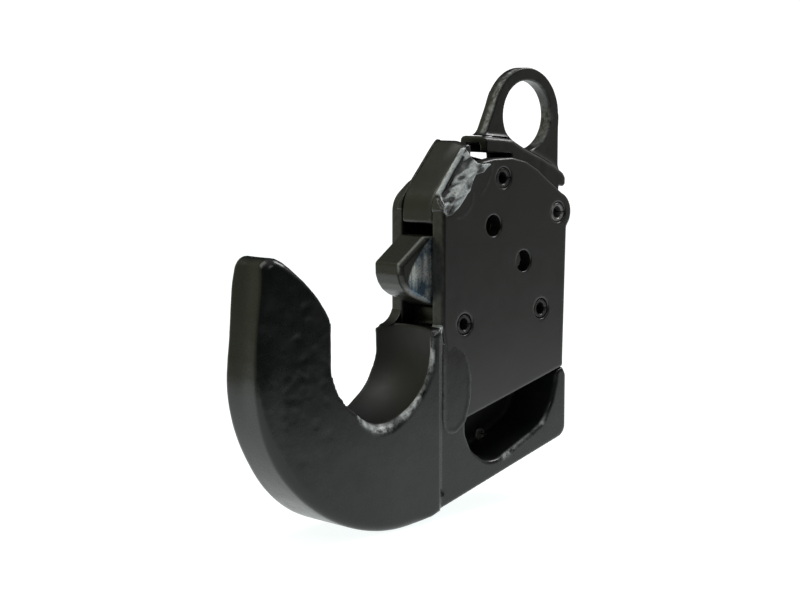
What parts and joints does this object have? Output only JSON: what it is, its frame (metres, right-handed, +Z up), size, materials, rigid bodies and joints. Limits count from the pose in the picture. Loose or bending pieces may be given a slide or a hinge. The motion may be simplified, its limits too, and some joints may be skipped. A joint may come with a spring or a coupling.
{
  "type": "weld-on lower link hook",
  "caption": "Forged weld-on hook with a ball seat, a sprung sliding latch between two side plates and a lever with a rope eye that draws the latch back.",
  "frame": {"origin": "centre of the ball seat, midway across the hook's thickness", "axes": "+X from the nose towards the weld face, +Y across the thickness towards the left plate, +Z up out of the mouth"},
  "size_m": [0.163, 0.032, 0.1699],
  "materials": {
    "forging_paint": "semi-gloss black paint over forged steel",
    "plate_paint": "semi-gloss black paint over rolled plate",
    "weld_paint": "glossy paint over a rough weld bead",
    "lever_paint": "semi-gloss black paint",
    "latch_zinc": "zinc plate with black overspray on the nose",
    "spring_steel": "oiled spring steel",
    "inner_steel": "machined steel"
  },
  "bodies": {
    "hook": {"hook_body": "forging_paint", "right_side_plate": "plate_paint", "left_side_plate": "plate_paint", "front_bridge": "plate_paint", "latch_top_guide": "inner_steel", "right_bridge_weld": "weld_paint", "left_bridge_weld": "weld_paint", "right_seam_weld": "weld_paint", "left_seam_weld": "weld_paint", "right_foot_weld": "weld_paint", "left_foot_weld": "weld_paint", "upper_roll_pin": "spring_steel", "lever_pivot_pin": "spring_steel", "rear_roll_pin": "spring_steel", "front_roll_pin": "spring_steel", "pocket_roll_pin": "spring_steel", "upper_spacer_sleeve": "inner_steel", "spring_stop_block": "inner_steel", "spring_guide_rod": "inner_steel", "return_spring": "spring_steel", "right_lever_washer": "inner_steel", "left_lever_washer": "inner_steel"},
    "lever": {"lever_channel": "lever_paint", "lever_eye_plate": "lever_paint", "lever_bush": "inner_steel", "drive_pin": "spring_steel"},
    "latch": {"latch": "latch_zinc"}
  },
  "joints": [
    {"name": "lever_pivot", "type": "hinge", "parent": "hook", "child": "lever", "pos_m": [0.095, 0, 0.0475], "axis": [0, 1, 0], "range_deg": [0, 48], "stiffness_Nm_per_rad": 0.42, "springref_deg": -34.38},
    {"name": "latch_slide", "type": "slide", "parent": "hook", "child": "latch", "axis": [1, 0, 0], "range_m": [0, 0.014], "deforming": ["return_spring"]}
  ],
  "couplings": [
    {"joint": "latch_slide", "follows": "lever_pivot", "m_per_rad": 0.01671}
  ]
}
